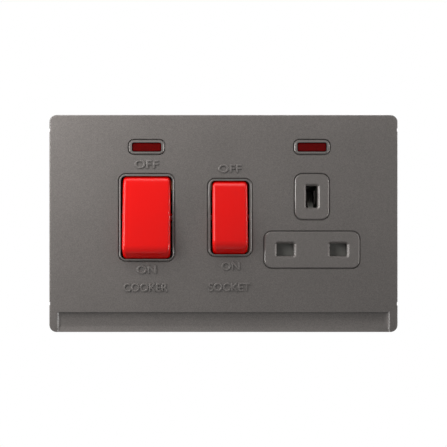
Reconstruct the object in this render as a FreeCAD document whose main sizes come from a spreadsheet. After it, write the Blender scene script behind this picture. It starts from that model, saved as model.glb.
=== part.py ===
import FreeCAD
import Part
import Sketcher
import math
import operator
import os
from types import SimpleNamespace

from FreeCAD import Rotation, Vector

# Cooker control unit for a two-gang wall box. Millimetres and degrees; X runs right, the front
# faces -Y, Z runs up. The origin is on the wall plane, midway between the two box-fixing holes.
SIZES = {
    # clip-on cover
    "plate_width": 146.0,
    "plate_height": 91.0,
    "plate_below": 2.5,
    "plate_corner": 3.0,
    "cover_depth": 7.0,
    "cover_wall": 1.5,
    "cover_side": 1.6,
    "cover_edge": 0.5,
    "aperture_gap": 0.3,
    "aperture_edge": 0.2,
    "cove_height": 8.4,
    "cove_radius": 14.0,
    "cove_sink": 1.6,
    "cove_end": 3.0,
    "cove_lip": 0.4,
    "cove_margin": 3.3,
    "notch_depth": 0.35,
    "notch_height": 1.4,
    "notch_from_top": 6.3,
    "notch_from_bottom": 11.9,
    "hook_length": 9.0,
    "hook_reach": 1.4,
    # insert behind the cover
    "insert_clearance": 0.2,
    "insert_thickness": 3.0,
    "insert_margin": 1.0,
    "ring_room_above": 1.8,
    "ring_room_below": 0.5,
    "bezel_proud": 0.3,
    "bezel_edge": 0.4,
    "fixing_spacing": 120.6,
    "fixing_hole_radius": 2.1,
    "fixing_recess_radius": 4.0,
    "neon_z": 29.5,
    "neon_bezel_width": 14.9,
    "neon_bezel_height": 6.0,
    "neon_bezel_corner": 2.2,
    "neon_window_width": 12.4,
    "neon_window_height": 3.9,
    "neon_window_corner": 0.8,
    "lens_flange": 0.7,
    "lamp_radius": 2.0,
    "lamp_length": 9.0,
    # outlet
    "outlet_x": 37.05,
    "earth_z": 8.7,
    "pin_pitch": 22.23,
    "earth_island_width": 14.3,
    "earth_island_height": 19.1,
    "pin_island_width": 39.9,
    "pin_island_height": 15.3,
    "island_corner": 3.2,
    "earth_slot_width": 4.8,
    "earth_slot_height": 9.2,
    "pin_slot_width": 7.2,
    "pin_slot_height": 5.2,
    "slot_corner": 0.6,
    "slot_chamfer": 0.9,
    "shutter_thickness": 1.8,
    "shutter_travel": 6.5,
    "shutter_overlap": 1.0,
    "ramp_width": 2.4,
    "clip_metal": 0.8,
    # rockers; both turn about one line on the wall plane
    "rocker_tilt": 10.0,
    "rocker_face": 9.8,
    "rocker_wall": 1.8,
    "rocker_corner": 2.0,
    "rocker_edge": 1.4,
    "rocker_end": 4.5,
    "rocker_end_setback": 2.4,
    "rocker_end_turn": 60.0,
    "rocker_sweep": 81.0,
    "rocker_gap": 0.4,
    "rocker_side_gap": 0.85,
    "axle_radius": 1.6,
    "axle_length": 2.7,
    "cheek_thickness": 2.0,
    "cooker_x": -32.2,
    "cooker_bezel_width": 23.1,
    "cooker_bezel_height": 36.5,
    "cooker_rocker_width": 20.0,
    "cooker_rocker_half": 15.65,
    "socket_x": 2.7,
    "socket_bezel_width": 18.3,
    "socket_bezel_height": 32.4,
    "socket_rocker_width": 14.7,
    "socket_rocker_half": 13.5,
    "bezel_corner": 3.0,
    # switch works
    "plunger_reach": 11.0,
    "plunger_tip": 1.5,
    "tube_wall": 0.95,
    "cooker_pole": 5.0,
    "cooker_plunger_radius": 1.9,
    "cooker_bar_width": 5.0,
    "cooker_tip_place": 8.0,
    "cooker_tip_radius": 1.4,
    "socket_pole": 3.6,
    "socket_plunger_radius": 1.5,
    "socket_bar_width": 4.0,
    "socket_tip_place": 7.0,
    "socket_tip_radius": 1.2,
    "bar_thickness": 1.4,
    "bar_stand": 0.4,
    "bar_overhang": 1.5,
    "pivot_rib_radius": 1.0,
    "tip_height": 0.9,
    "arm_thickness": 1.5,
    "link_thickness": 1.0,
    "link_width": 4.0,
    "link_z": 14.0,
    # body behind the insert
    "base_left": 52.0,
    "base_right": 55.6,
    "base_top": 34.0,
    "base_bottom": 32.0,
    "base_rear": 22.0,
    "base_wall": 1.8,
    "base_floor": 2.0,
    "base_edge": 1.2,
    "terminal_width": 9.6,
    "terminal_height": 10.0,
    "terminal_length": 10.0,
    "terminal_pitch": 11.2,
    "cable_bore_radius": 3.0,
    "terminal_screw_radius": 2.0,
    "earth_terminal_x": 20.0,
    "earth_terminal_pitch": 7.4,
    "base_screw_radius": 1.45,
    "boss_radius": 3.0,
    "running_fit": 0.1,
}


class Size:
    """A length, place or angle: its value now and the sheet formula that gives it."""

    def __init__(self, value, formula):
        self.value = value
        self.formula = formula

    def __add__(self, other):
        return joined(self, "+", other)

    def __radd__(self, other):
        return joined(other, "+", self)

    def __sub__(self, other):
        return joined(self, "-", other)

    def __rsub__(self, other):
        return joined(other, "-", self)

    def __mul__(self, other):
        return joined(self, "*", other)

    def __rmul__(self, other):
        return joined(other, "*", self)

    def __truediv__(self, other):
        return joined(self, "/", other)

    def __neg__(self):
        return joined(0, "-", self)


SIGNS = {"+": operator.add, "-": operator.sub, "*": operator.mul, "/": operator.truediv}


def sized(number):
    """A plain number as a Size, so both kinds can be mixed in a formula."""
    if isinstance(number, Size):
        return number
    return Size(float(number), f"({float(number)})")


def joined(left, sign, right):
    """Two sizes put together by one sign."""
    left = sized(left)
    right = sized(right)
    value = SIGNS[sign](left.value, right.value)
    return Size(value, f"({left.formula} {sign} {right.formula})")


def root(size):
    """Square root of a size."""
    return Size(math.sqrt(size.value), f"sqrt({size.formula})")


def sine(angle):
    """Sine of an angle in degrees."""
    return Size(math.sin(math.radians(angle.value)), f"sin({angle.formula})")


doc = FreeCAD.newDocument("cooker_control_unit")
sheet = doc.addObject("Spreadsheet::Sheet", "Sizes")
for row, (alias, number) in enumerate(SIZES.items(), start=1):
    sheet.set(f"A{row}", alias)
    sheet.set(f"B{row}", str(number))
    sheet.setAlias(f"B{row}", alias)
doc.recompute()
s = SimpleNamespace(**{alias: Size(number, f"Sizes.{alias}") for alias, number in SIZES.items()})

NODES = {}
PLANES = {"front": "XZ_Plane", "side": "YZ_Plane", "plan": "XY_Plane"}
NAMES = iter(range(1, 10000))


def bind(thing, prop, size):
    """Ties one property to the sheet."""
    thing.setExpression(prop, sized(size).formula)


def new_body(label):
    """An empty body; its label names the file it is written to."""
    body = doc.addObject("PartDesign::Body", label)
    body.Label = label
    return body


def rectangle(u, v, width, height, corner=None):
    """Outline of a rectangle about (u, v), with rounded corners where a radius is given."""
    u = sized(u)
    v = sized(v)
    width = sized(width)
    height = sized(height)

    def trace(sketch):
        first = sketch.GeometryCount
        radius = corner.value if corner else 0.0
        left = u.value - width.value / 2
        right = u.value + width.value / 2
        low = v.value - height.value / 2
        high = v.value + height.value / 2
        ends = [
            ((left + radius, low), (right - radius, low)),
            ((right, low + radius), (right, high - radius)),
            ((right - radius, high), (left + radius, high)),
            ((left, high - radius), (left, low + radius)),
        ]
        lines = [Part.LineSegment(Vector(*start, 0), Vector(*end, 0)) for start, end in ends]
        sketch.addGeometry(lines, False)
        ways = ("Horizontal", "Vertical", "Horizontal", "Vertical")
        rules = [Sketcher.Constraint(way, first + side) for side, way in enumerate(ways)]
        if corner:
            bends = [(right - radius, low + radius), (right - radius, high - radius),
                     (left + radius, high - radius), (left + radius, low + radius)]
            for side, centre in enumerate(bends):
                circle = Part.Circle(Vector(*centre, 0), Vector(0, 0, 1), radius)
                start = math.radians(270 + 90 * side)
                arc = sketch.addGeometry(Part.ArcOfCircle(circle, start, start + math.pi / 2), False)
                following = first + (side + 1) % 4
                rules.append(Sketcher.Constraint("Tangent", first + side, 2, arc, 1))
                rules.append(Sketcher.Constraint("Tangent", arc, 2, following, 1))
            rules += [Sketcher.Constraint("Equal", first + 4, first + arc) for arc in (5, 6, 7)]
            near = (first + 7, 3)
            far = (first + 5, 3)
        else:
            rules += [Sketcher.Constraint("Coincident", first + side, 2, first + (side + 1) % 4, 1)
                      for side in range(4)]
            near = (first, 1)
            far = (first + 1, 2)
        sketch.addConstraint(rules)
        inset = corner if corner else sized(0)
        dimension(sketch, "DistanceX", (-1, 1, *near), u - width / 2 + inset)
        dimension(sketch, "DistanceY", (-1, 1, *near), v - height / 2 + inset)
        dimension(sketch, "DistanceX", (*near, *far), width - 2 * inset)
        dimension(sketch, "DistanceY", (*near, *far), height - 2 * inset)
        if corner:
            dimension(sketch, "Radius", (first + 4,), corner)

    return trace


def span(u_low, u_high, v_low, v_high, corner=None):
    """Rectangle given by its two ends along each way."""
    u_low = sized(u_low)
    v_low = sized(v_low)
    middle_u = (u_low + u_high) / 2
    middle_v = (v_low + v_high) / 2
    return rectangle(middle_u, middle_v, u_high - u_low, v_high - v_low, corner)


def disc(u, v, radius):
    """Outline of a circle about (u, v)."""
    u = sized(u)
    v = sized(v)
    radius = sized(radius)

    def trace(sketch):
        circle = Part.Circle(Vector(u.value, v.value, 0), Vector(0, 0, 1), radius.value)
        first = sketch.addGeometry(circle, False)
        dimension(sketch, "DistanceX", (-1, 1, first, 3), u)
        dimension(sketch, "DistanceY", (-1, 1, first, 3), v)
        dimension(sketch, "Radius", (first,), radius)

    return trace


def polygon(points, arcs=()):
    """Closed outline through the points; arcs names the sides that bend about a centre."""
    points = [(sized(u), sized(v)) for u, v in points]
    bends = {side: (sized(centre[0]), sized(centre[1]), radius) for side, centre, radius in arcs}

    def trace(sketch):
        first = sketch.GeometryCount
        count = len(points)
        starts = {}
        stops = {}
        for side in range(count):
            here = Vector(points[side][0].value, points[side][1].value, 0)
            following = points[(side + 1) % count]
            there = Vector(following[0].value, following[1].value, 0)
            starts[side] = (first + side, 1)
            stops[side] = (first + side, 2)
            if side not in bends:
                sketch.addGeometry(Part.LineSegment(here, there), False)
                continue
            centre = Vector(bends[side][0].value, bends[side][1].value, 0)
            circle = Part.Circle(centre, Vector(0, 0, 1), bends[side][2].value)
            opening = math.atan2(here.y - centre.y, here.x - centre.x)
            closing = math.atan2(there.y - centre.y, there.x - centre.x)
            if (here - centre).cross(there - centre).z < 0:
                opening, closing = closing, opening
                starts[side] = (first + side, 2)
                stops[side] = (first + side, 1)
            sketch.addGeometry(Part.ArcOfCircle(circle, opening, closing), False)
        for side in range(count):
            meeting = Sketcher.Constraint("Coincident", *stops[side], *starts[(side + 1) % count])
            sketch.addConstraint(meeting)
        for side, (u, v) in enumerate(points):
            dimension(sketch, "DistanceX", (-1, 1, *starts[side]), u)
            dimension(sketch, "DistanceY", (-1, 1, *starts[side]), v)
        for side, bend in bends.items():
            dimension(sketch, "Radius", (first + side,), bend[2])

    return trace


def dimension(sketch, kind, ends, size):
    """One sketch dimension tied to the sheet."""
    number = sketch.addConstraint(Sketcher.Constraint(kind, *ends, size.value))
    name = f"size{number}"
    sketch.renameConstraint(number, name)
    bind(sketch, f"Constraints.{name}", size)


def draw(body, plane, outlines, level):
    """A sketch of the outlines on one of the body's planes, at a level along its normal."""
    sketch = body.newObject("Sketcher::SketchObject", f"Outline{next(NAMES)}")
    role = PLANES[plane]
    sketch.AttachmentSupport = (next(face for face in body.Origin.OriginFeatures if face.Role == role), "")
    sketch.MapMode = "FlatFace"
    bind(sketch, "AttachmentOffset.Base.z", level)
    for trace in outlines:
        trace(sketch)
    return sketch


def pad(body, plane, outlines, low, high):
    """Adds material over the outlines from low to high along Y (front), X (side) or Z (plan)."""
    level = -sized(high) if plane == "front" else sized(low)
    feature = body.newObject("PartDesign::Pad", f"Pad{next(NAMES)}")
    feature.Profile = draw(body, plane, outlines, level)
    feature.Refine = False
    bind(feature, "Length", sized(high) - low)
    body.Tip = feature
    return feature


def pocket(body, plane, outlines, low, high):
    """Takes material away over the outlines from low to high along Y, X or Z."""
    level = -sized(low) if plane == "front" else sized(high)
    feature = body.newObject("PartDesign::Pocket", f"Pocket{next(NAMES)}")
    feature.Profile = draw(body, plane, outlines, level)
    feature.Refine = False
    bind(feature, "Length", sized(high) - low)
    body.Tip = feature
    return feature


def spin(body, kind, outline, angle):
    """Turns a plan outline about the X axis, as a Revolution or a Groove, evenly about the front."""
    feature = body.newObject(f"PartDesign::{kind}", f"{kind}{next(NAMES)}")
    sketch = draw(body, "plan", [outline], 0)
    feature.Profile = sketch
    feature.ReferenceAxis = (sketch, ["H_Axis"])
    feature.Refine = False
    feature.Midplane = True
    bind(feature, "Angle", angle)
    body.Tip = feature
    return feature


def dress(body, kind, edges, size):
    """Rounds (Fillet) or cuts (Chamfer) the edges of the body so far that pass a test."""
    doc.recompute()
    before = body.Tip
    names = [f"Edge{number}" for number, edge in enumerate(before.Shape.Edges, start=1) if edges(edge)]
    feature = body.newObject(f"PartDesign::{kind}", f"{kind}{next(NAMES)}")
    feature.Base = (before, names)
    feature.Refine = False
    bind(feature, "Radius" if kind == "Fillet" else "Size", size)
    body.Tip = feature
    return feature


def flat_at(axis, place, inside=None):
    """Test for edges that lie on one plane, and within a box (x0, x1, z0, z1) if given."""

    def edges(edge):
        box = edge.BoundBox
        low = getattr(box, f"{axis}Min")
        high = getattr(box, f"{axis}Max")
        if abs(low - place.value) > 1e-4 or abs(high - place.value) > 1e-4:
            return False
        if inside is None:
            return True
        x_low, x_high, z_low, z_high = (sized(end).value for end in inside)
        across = x_low <= box.XMin and box.XMax <= x_high
        return across and z_low <= box.ZMin and box.ZMax <= z_high

    return edges


def block(low, high):
    """A plain box between two corners."""
    thing = doc.addObject("Part::Box", f"Block{next(NAMES)}")
    for prop, axis, start, end in zip(("Length", "Width", "Height"), "xyz", low, high):
        bind(thing, prop, sized(end) - start)
        bind(thing, f"Placement.Base.{axis}", start)
    return thing


TURNS = {"x": Rotation(Vector(0, 1, 0), 90), "y": Rotation(Vector(1, 0, 0), -90), "z": Rotation()}


def rod(axis, start, radius, length):
    """A cylinder from a start point along X, Y or Z."""
    thing = doc.addObject("Part::Cylinder", f"Rod{next(NAMES)}")
    thing.Placement = FreeCAD.Placement(Vector(0, 0, 0), TURNS[axis])
    for way, place in zip("xyz", start):
        bind(thing, f"Placement.Base.{way}", place)
    bind(thing, "Radius", radius)
    bind(thing, "Height", length)
    return thing


def fused(things):
    """Several solids made one."""
    whole = doc.addObject("Part::MultiFuse", f"Fused{next(NAMES)}")
    whole.Shapes = things
    whole.Refine = True
    return whole


def less(thing, tool):
    """One solid with another taken out of it."""
    rest = doc.addObject("Part::Cut", f"Less{next(NAMES)}")
    rest.Base = thing
    rest.Tool = tool
    return rest


def group(label, things):
    """Like pieces kept together as one sub-part of separate solids."""
    whole = doc.addObject("Part::Compound", label)
    whole.Label = label
    whole.Links = things
    NODES[label] = whole
    return whole


def turn(thing, place, angle):
    """Moves a sub-part drawn about its pivot to its place, turned about X."""
    thing.Placement = FreeCAD.Placement(Vector(0, 0, 0), Rotation(Vector(1, 0, 0), sized(angle).value))
    for way, where in zip("xyz", place):
        bind(thing, f"Placement.Base.{way}", where)
    bind(thing, "Placement.Rotation.Angle", angle)


def coil(label, radius, wire, length, turns):
    """A compression spring of square wire about Z, from 0 to its length."""
    body = new_body(label)
    feature = body.newObject("PartDesign::AdditiveHelix", f"Coil{next(NAMES)}")
    sketch = draw(body, "front", [rectangle(radius, wire / 2, wire, wire)], 0)
    feature.Profile = sketch
    feature.ReferenceAxis = (sketch, ["V_Axis"])
    feature.Mode = "height-turns-growth"
    bind(feature, "Height", length - wire)
    feature.Turns = turns
    body.Tip = feature
    return body


def barrel(x, half, reach, bend):
    """Plan outline from the axle line out to a reach, its two outer corners rounded."""
    left = x - half
    right = x + half
    return polygon(
        [(left, 0), (left, bend - reach), (left + bend, -reach), (right - bend, -reach),
         (right, bend - reach), (right, 0)],
        arcs=[(1, (left + bend, bend - reach), bend), (3, (right - bend, bend - reach), bend)])


# Levels and places that several pieces share.
plate_top = s.plate_height / 2 - s.plate_below
plate_bottom = plate_top - s.plate_height
cove_top = plate_bottom + s.cove_height
cover_front = -s.cover_depth
cover_inside = cover_front + s.cover_wall
insert_front = cover_inside + s.insert_clearance
insert_rear = insert_front + s.insert_thickness
bezel_front = cover_front - s.bezel_proud
wall_y = sized(0)
pins_z = s.earth_z - s.pin_pitch
live_x = s.outlet_x + s.pin_pitch / 2
neutral_x = s.outlet_x - s.pin_pitch / 2
contact_y = s.plunger_reach + s.running_fit + s.bar_thickness + s.bar_stand
floor_y = s.base_rear - s.base_floor

cooker = SimpleNamespace(
    name="cooker", x=s.cooker_x, bezel_width=s.cooker_bezel_width, bezel_height=s.cooker_bezel_height,
    width=s.cooker_rocker_width, half=s.cooker_rocker_half, pole=s.cooker_pole,
    plunger=s.cooker_plunger_radius, bar=s.cooker_bar_width, tip_place=s.cooker_tip_place,
    tip_radius=s.cooker_tip_radius)
socket = SimpleNamespace(
    name="socket", x=s.socket_x, bezel_width=s.socket_bezel_width, bezel_height=s.socket_bezel_height,
    width=s.socket_rocker_width, half=s.socket_rocker_half, pole=s.socket_pole,
    plunger=s.socket_plunger_radius, bar=s.socket_bar_width, tip_place=s.socket_tip_place,
    tip_radius=s.socket_tip_radius)
for switch in (cooker, socket):
    switch.end_radius = root(switch.half * switch.half + s.rocker_face * s.rocker_face)
    lean = sine(s.rocker_tilt) * (switch.tip_place + switch.tip_radius)
    switch.fixed_front = contact_y + s.tip_height - s.bar_stand + lean + s.running_fit

# Mouldings that fill the cover's apertures: centre, size and corner of each.
BEZELS = [
    (cooker.x, wall_y, cooker.bezel_width, cooker.bezel_height, s.bezel_corner),
    (socket.x, wall_y, socket.bezel_width, socket.bezel_height, s.bezel_corner),
    (cooker.x, s.neon_z, s.neon_bezel_width, s.neon_bezel_height, s.neon_bezel_corner),
    (s.outlet_x, s.neon_z, s.neon_bezel_width, s.neon_bezel_height, s.neon_bezel_corner),
    (s.outlet_x, s.earth_z, s.earth_island_width, s.earth_island_height, s.island_corner),
    (s.outlet_x, pins_z, s.pin_island_width, s.pin_island_height, s.island_corner),
]

# Clip-on cover: a shallow tray with a coved channel along the lower edge of its front. The cove is
# an arc that drops from a sharp step and runs out near the front at the lower lip.
cover = new_body("cover_plate")
pad(cover, "front", [rectangle(0, -s.plate_below, s.plate_width, s.plate_height, s.plate_corner)],
    cover_front, wall_y)
dress(cover, "Fillet", flat_at("Y", cover_front), s.cover_edge)
arc_depth = s.cove_radius - s.cove_sink
arc_y = cover_front - arc_depth
arc_drop = root(s.cove_radius * s.cove_radius - (arc_depth + s.cove_lip) * (arc_depth + s.cove_lip))
arc_z = plate_bottom + arc_drop
step_rise = cove_top - arc_z
step_y = arc_y + root(s.cove_radius * s.cove_radius - step_rise * step_rise)
lip_y = cover_front + s.cove_lip
cove_profile = polygon(
    [(cover_front - 1, cove_top), (step_y, cove_top), (lip_y, plate_bottom), (lip_y, plate_bottom - 1),
     (cover_front - 1, plate_bottom - 1)],
    arcs=[(1, (arc_y, arc_z), s.cove_radius)])
cove_half = s.plate_width / 2 - s.cove_margin
cove_floor = cover_front + s.cove_sink
cove_tool = new_body("cove_tool")
pad(cove_tool, "side", [cove_profile], -cove_half, cove_half)
cove_corners = []
cove_turn = (s.cove_end * s.cove_end + s.cove_sink * s.cove_sink) / (2 * s.cove_sink)
for side in (-1, 1):
    turn_x = side * (cove_half - s.cove_end)
    beyond_x = side * (cove_half + 1)
    cove_corners.append(polygon(
        [(side * cove_half, cover_front), (turn_x, cove_floor), (turn_x, cove_floor + 1),
         (beyond_x, cove_floor + 1), (beyond_x, cover_front)],
        arcs=[(0, (turn_x, cove_floor - cove_turn), cove_turn)]))
pocket(cove_tool, "plan", cove_corners, plate_bottom - 2, cove_top + 1)
cove = cover.newObject("PartDesign::Boolean", "Cove")
cove.Type = "Cut"
cove.setObjects([cove_tool])
cover.Tip = cove
cavity_half = s.plate_width / 2 - s.cover_side
cavity_top = plate_top - s.cover_side
cavity_step = cove_top + s.cover_wall
cavity_corner = s.plate_corner - s.cover_side
pocket(cover, "front", [span(-cavity_half, cavity_half, cavity_step, cavity_top, cavity_corner)],
       cover_inside, wall_y)
pocket(cover, "front", [span(-cavity_half, cavity_half, plate_bottom + s.cover_side, cavity_step + 2)],
       cove_floor + s.cover_wall, wall_y)
gap = s.aperture_gap
apertures = [rectangle(x, z, width + 2 * gap, height + 2 * gap, corner + gap)
             for x, z, width, height, corner in BEZELS]
pocket(cover, "front", apertures, cover_front - 1, cover_inside + 1)
dress(cover, "Chamfer", flat_at("Y", cover_front, (-cove_half, cove_half, cove_top + 1, plate_top - 1)),
      s.aperture_edge)
notches = [rectangle(side * s.plate_width / 2, z, 2 * s.notch_depth, s.notch_height)
           for side in (-1, 1)
           for z in (plate_top - s.notch_from_top, plate_bottom + s.notch_from_bottom)]
pocket(cover, "front", notches, cover_front - 1, wall_y + 1)
hook_front = insert_rear + s.insert_clearance
hooks = []
for side in (-1, 1):
    root_x = side * (cavity_half + 0.2)
    tip_x = side * (cavity_half - s.hook_reach)
    hooks.append(polygon([(root_x, hook_front), (tip_x, hook_front), (tip_x, hook_front + 0.5),
                          (root_x, hook_front + 2)]))
for z in (plate_top * 0.6, plate_bottom * 0.5):
    pad(cover, "plan", hooks, z - s.hook_length / 2, z + s.hook_length / 2)
NODES["cover_plate"] = cover

# Insert: the plate under the cover, with the bezels and socket islands that rise through it.
insert = new_body("front_insert")
insert_half = cavity_half - s.insert_margin
insert_top = cavity_top - s.insert_margin
insert_bottom = cavity_step + s.insert_margin
rib = 1.6
ring_half = insert_half - 3
ring_top = s.base_top + s.ring_room_above + rib
ring_bottom = -s.base_bottom - s.ring_room_below - rib
pad(insert, "front", [span(-insert_half, insert_half, insert_bottom, insert_top, s.plate_corner)],
    insert_front, insert_rear)
pad(insert, "front", [span(-ring_half, ring_half, ring_bottom, ring_top, s.plate_corner),
                      span(rib - ring_half, ring_half - rib, ring_bottom + rib, ring_top - rib)],
    insert_rear, wall_y)

# Box-fixing holes, with recesses for the screw heads under the cover.
fixings = [side * s.fixing_spacing / 2 for side in (-1, 1)]
pad(insert, "front", [disc(x, 0, s.fixing_recess_radius + 0.6) for x in fixings], insert_rear, wall_y)
pocket(insert, "front", [disc(x, 0, s.fixing_recess_radius) for x in fixings], insert_front, insert_rear)
pocket(insert, "front", [disc(x, 0, s.fixing_hole_radius) for x in fixings], insert_rear, wall_y)

# Rear of the insert: screw bosses, shutter guides, spring seat and lamp cradles.
middle_x = (cooker.x + socket.x) / 2
upper_boss = s.base_top - s.base_wall - s.boss_radius - 3
lower_boss = s.base_wall + s.boss_radius - s.base_bottom
right_boss = s.base_right - s.base_wall - s.boss_radius - 0.8
SCREWS = [
    (s.base_wall + s.boss_radius - s.base_left, wall_y),
    (middle_x, upper_boss),
    (middle_x, lower_boss + 2),
    (right_boss, upper_boss),
    (right_boss, lower_boss + 0.3),
]
pad(insert, "front", [disc(x, z, s.boss_radius) for x, z in SCREWS], insert_rear, floor_y)
pocket(insert, "front", [disc(x, z, s.base_screw_radius + 0.05) for x, z in SCREWS], floor_y - 12, floor_y)
flag_half = s.pin_pitch / 2 + s.pin_slot_width / 2 + s.shutter_overlap
flag_top = pins_z + s.pin_slot_height / 2 + s.shutter_overlap
flag_bottom = pins_z - s.pin_slot_height / 2 - s.shutter_overlap - s.running_fit
seat_top = flag_bottom - s.shutter_travel - 1.6
guide_near = flag_half + 0.2
guide_far = guide_near + 0.7
guide_rear = insert_rear + s.running_fit * 2 + s.shutter_thickness
pad(insert, "front", [span(s.outlet_x - guide_far, s.outlet_x - guide_near, seat_top, flag_top),
                      span(s.outlet_x + guide_near, s.outlet_x + guide_far, seat_top, flag_top),
                      span(s.outlet_x - 3, s.outlet_x + 3, seat_top - 2, seat_top)],
    insert_rear, guide_rear)
lamp_y = insert_rear + s.lamp_radius + 3 * s.running_fit
cradles = [rectangle(x + side * s.lamp_length * 0.3, s.neon_z, 1, 2 * s.lamp_radius + 1.4)
           for x in (cooker.x, s.outlet_x) for side in (-1, 1)]
pad(insert, "front", cradles, insert_rear - 0.8, lamp_y)
for x in (cooker.x, s.outlet_x):
    pocket(insert, "side", [disc(lamp_y, s.neon_z, s.lamp_radius + s.running_fit)],
           x - s.lamp_length / 2, x + s.lamp_length / 2)

# Side walls of the two switch wells, with open slots into which the rockers' axles drop from behind.
cheeks = []
slots = []
for switch in (cooker, socket):
    for side in (-1, 1):
        near = switch.width / 2 + s.rocker_side_gap + 0.2
        cheek_x = switch.x + side * (near + s.cheek_thickness / 2)
        cheeks.append(rectangle(cheek_x, 0, s.cheek_thickness, switch.bezel_height))
        slots.append(rectangle(cheek_x, 0, s.cheek_thickness, 2 * (s.axle_radius + s.running_fit)))
pad(insert, "front", cheeks, insert_rear, s.axle_radius * 2)
pocket(insert, "front", slots, wall_y, s.axle_radius * 2)
for switch in (cooker, socket):
    outer = switch.width / 2 + s.rocker_side_gap + 0.2 + s.cheek_thickness
    pocket(insert, "side", [disc(0, 0, s.axle_radius + s.running_fit)], switch.x - outer, switch.x + outer)

pad(insert, "front", [rectangle(*bezel) for bezel in BEZELS], bezel_front, insert_front)
dress(insert, "Chamfer", flat_at("Y", bezel_front), s.bezel_edge)

# The three pin slots, with their lead-in chamfers.
SLOTS = [(s.outlet_x, s.earth_z, s.earth_slot_width, s.earth_slot_height),
         (live_x, pins_z, s.pin_slot_width, s.pin_slot_height),
         (neutral_x, pins_z, s.pin_slot_width, s.pin_slot_height)]
pocket(insert, "front", [rectangle(*slot, s.slot_corner) for slot in SLOTS], bezel_front, insert_rear)


def slot_rims(edge):
    """Front edges of the three slots."""
    inside = [(x - width / 2 - 0.01, x + width / 2 + 0.01, z - height / 2 - 0.01, z + height / 2 + 0.01)
              for x, z, width, height in SLOTS]
    return any(flat_at("Y", bezel_front, box)(edge) for box in inside)


dress(insert, "Chamfer", slot_rims, s.slot_chamfer)

# Windows for the two neon lenses, stepped at the back for the lens flange.
flange_width = s.neon_window_width + 2 * s.lens_flange
flange_height = s.neon_window_height + 2 * s.lens_flange
flange_front = insert_rear - 1.7
neons = (cooker.x, s.outlet_x)
pocket(insert, "front",
       [rectangle(x, s.neon_z, s.neon_window_width, s.neon_window_height, s.neon_window_corner)
        for x in neons],
       bezel_front, insert_rear)
pocket(insert, "front", [rectangle(x, s.neon_z, flange_width, flange_height) for x in neons],
       flange_front, insert_rear)

# Rocker openings: turned about the rockers' own line, so the gap stays the same as they swing.
for switch in (cooker, socket):
    opening = barrel(switch.x, switch.width / 2 + s.rocker_side_gap, switch.end_radius + s.rocker_gap,
                     s.rocker_corner)
    spin(insert, "Groove", opening, 2 * (s.rocker_sweep + s.rocker_tilt))
NODES["front_insert"] = insert

# Neon lenses: a window block standing just below its bezel, on a flange that seats from behind.
lens_front = bezel_front + 0.45
for name, x in zip(("cooker_neon_lens", "socket_neon_lens"), neons):
    lens = new_body(name)
    fit = 2 * s.running_fit
    seat = flange_front + s.running_fit
    flange = rectangle(x, s.neon_z, flange_width - fit, flange_height - fit)
    pad(lens, "front", [flange], seat, insert_rear - 0.9)
    window = rectangle(x, s.neon_z, s.neon_window_width - fit, s.neon_window_height - fit,
                       s.neon_window_corner)
    pad(lens, "front", [window], lens_front, seat)
    dress(lens, "Chamfer", flat_at("Y", lens_front), 0.3)
    NODES[name] = lens

# Neon lamps: small glass envelopes with a pinched end, lying across the window.
for name, x in zip(("cooker_neon_lamp", "socket_neon_lamp"), neons):
    glass_end = x - s.lamp_length / 2
    glass = rod("x", (glass_end, lamp_y, s.neon_z), s.lamp_radius, s.lamp_length)
    pinch = block((glass_end - 1.6, lamp_y - 0.6, s.neon_z - 1.3),
                  (glass_end + 0.5, lamp_y + 0.6, s.neon_z + 1.3))
    lamp = fused([glass, pinch])
    lamp.Label = name
    NODES[name] = lamp

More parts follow.
